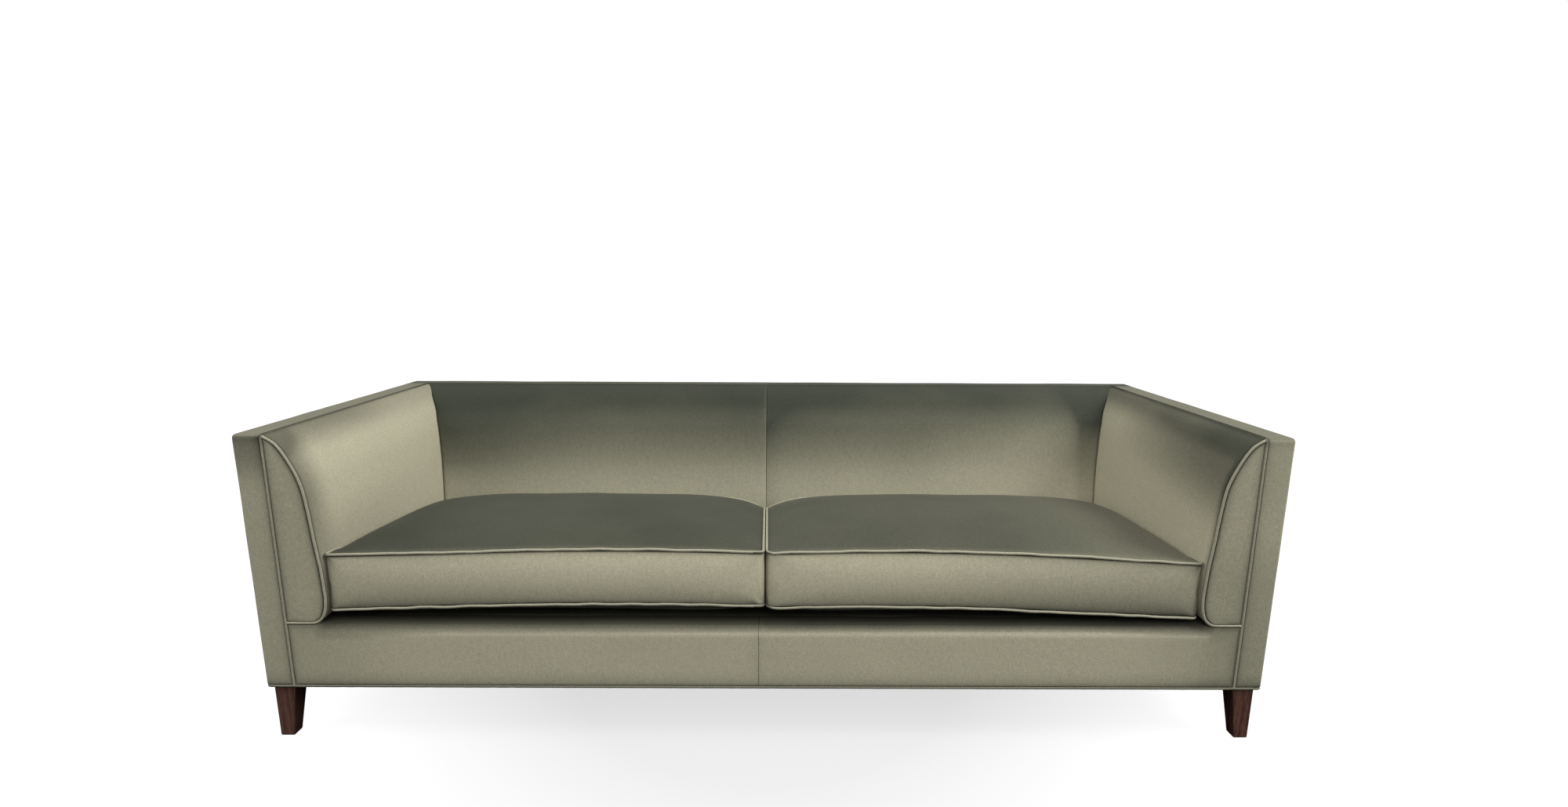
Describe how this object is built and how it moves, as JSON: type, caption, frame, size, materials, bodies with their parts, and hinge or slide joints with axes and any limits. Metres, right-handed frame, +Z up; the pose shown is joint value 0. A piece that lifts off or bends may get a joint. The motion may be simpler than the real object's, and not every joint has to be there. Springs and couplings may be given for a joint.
{
  "type": "tuxedo sofa",
  "caption": "Long upholstered sofa with arms and back of one height, loose boxed seat cushions, welted seams and short tapered wooden legs.",
  "frame": {"origin": "on the floor, under the middle of the sofa's bounding box", "axes": "+X along the length, to the right of someone who faces the sofa's front; +Y from the front to the back; +Z up"},
  "size_m": [2.2, 0.885, 0.69],
  "materials": {
    "velvet": "short-pile sage grey velvet with a strong nap",
    "velvet_welt": "the same velvet drawn round a piping cord",
    "cushion_foam": "plain cream foam",
    "frame_timber": "planed, unfinished hardwood",
    "fibreboard": "plain brown fibreboard",
    "leg_wood": "dark red-brown stain with a satin lacquer",
    "webbing": "dark elastic webbing",
    "platform_cloth": "plain woven cloth over thin padding",
    "dust_cloth": "thin black non-woven cloth"
  },
  "bodies": {
    "sofa_frame": {"arm_border_left": "velvet", "arm_border_right": "velvet", "arm_front_board_left": "frame_timber", "arm_front_board_right": "frame_timber", "arm_front_panel_left": "velvet", "arm_front_panel_right": "velvet", "arm_front_welt_left": "velvet_welt", "arm_front_welt_right": "velvet_welt", "arm_lining_left": "fibreboard", "arm_lining_right": "fibreboard", "arm_outer_cover_left": "velvet", "arm_outer_cover_right": "velvet", "arm_pad_left": "velvet", "arm_pad_right": "velvet", "arm_tack_rail_left": "frame_timber", "arm_tack_rail_right": "frame_timber", "arm_top_rail_left": "frame_timber", "arm_top_rail_right": "frame_timber", "back_border": "velvet", "back_outer_cover": "velvet", "back_pad_left": "velvet", "back_pad_right": "velvet", "back_rail": "frame_timber", "back_top_rail": "frame_timber", "back_upright_centre": "frame_timber", "back_upright_left": "frame_timber", "back_upright_right": "frame_timber", "border_welt": "velvet_welt", "centre_stretcher": "frame_timber", "corner_block_front_left": "frame_timber", "corner_block_front_right": "frame_timber", "corner_block_rear_left": "frame_timber", "corner_block_rear_right": "frame_timber", "dust_cover": "dust_cloth", "front_rail": "frame_timber", "front_rail_cover_left": "velvet", "front_rail_cover_right": "velvet", "hem_welt": "velvet_welt", "leg_front_left": "leg_wood", "leg_front_right": "leg_wood", "leg_rear_left": "leg_wood", "leg_rear_right": "leg_wood", "rear_seat_rail": "frame_timber", "seat_platform": "platform_cloth", "seat_webbing": "webbing", "side_rail_left": "frame_timber", "side_rail_right": "frame_timber"},
    "seat_cushion_left": {"cushion_base_panel_left": "velvet", "cushion_base_welt_left": "velvet_welt", "cushion_boxing_left": "velvet", "cushion_core_left": "cushion_foam", "cushion_top_panel_left": "velvet", "cushion_top_welt_left": "velvet_welt"},
    "seat_cushion_right": {"cushion_base_panel_right": "velvet", "cushion_base_welt_right": "velvet_welt", "cushion_boxing_right": "velvet", "cushion_core_right": "cushion_foam", "cushion_top_panel_right": "velvet", "cushion_top_welt_right": "velvet_welt"}
  },
  "joints": [
    {"name": "lift_cushion_left", "type": "slide", "parent": "sofa_frame", "child": "seat_cushion_left", "axis": [0, 0, 1], "range_m": [0, 0.45]},
    {"name": "lift_cushion_right", "type": "slide", "parent": "sofa_frame", "child": "seat_cushion_right", "axis": [0, 0, 1], "range_m": [0, 0.45]}
  ]
}
